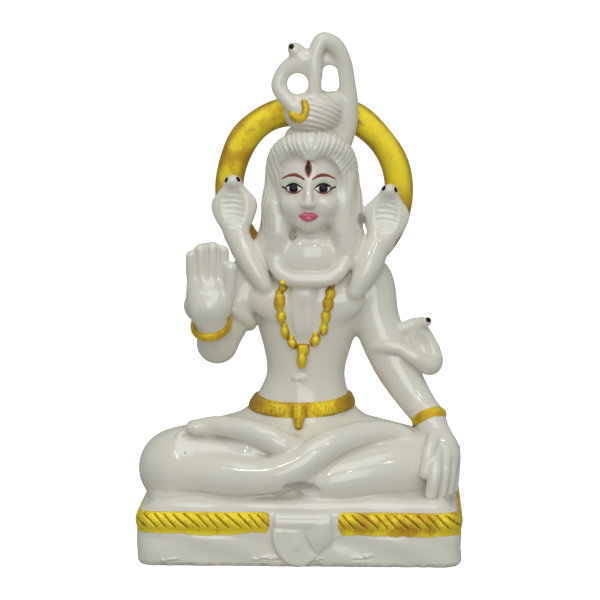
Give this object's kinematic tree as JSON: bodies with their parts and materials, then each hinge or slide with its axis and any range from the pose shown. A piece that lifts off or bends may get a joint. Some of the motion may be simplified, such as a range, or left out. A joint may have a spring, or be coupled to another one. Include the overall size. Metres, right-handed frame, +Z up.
{
  "type": "shiva figure",
  "caption": "Seated Shiva figurine cast in one piece in marble dust and resin, glazed white and gilded, with halo, cobras and raised hand, on a low rectangular seat.",
  "frame": {"origin": "middle of the seat's flat underside", "axes": "+Z up, the figure looks along -Y, +X to the right of someone facing it"},
  "size_m": [0.1256, 0.0797, 0.2015],
  "materials": {
    "glazed_casting": "gloss white lacquer over cast marble dust and resin, with hand-brushed gold paint on the halo, beads, belt, bracelets, moon and seat rolls"
  },
  "bodies": {
    "root": {"shiva_figure": "glazed_casting"}
  },
  "joints": []
}
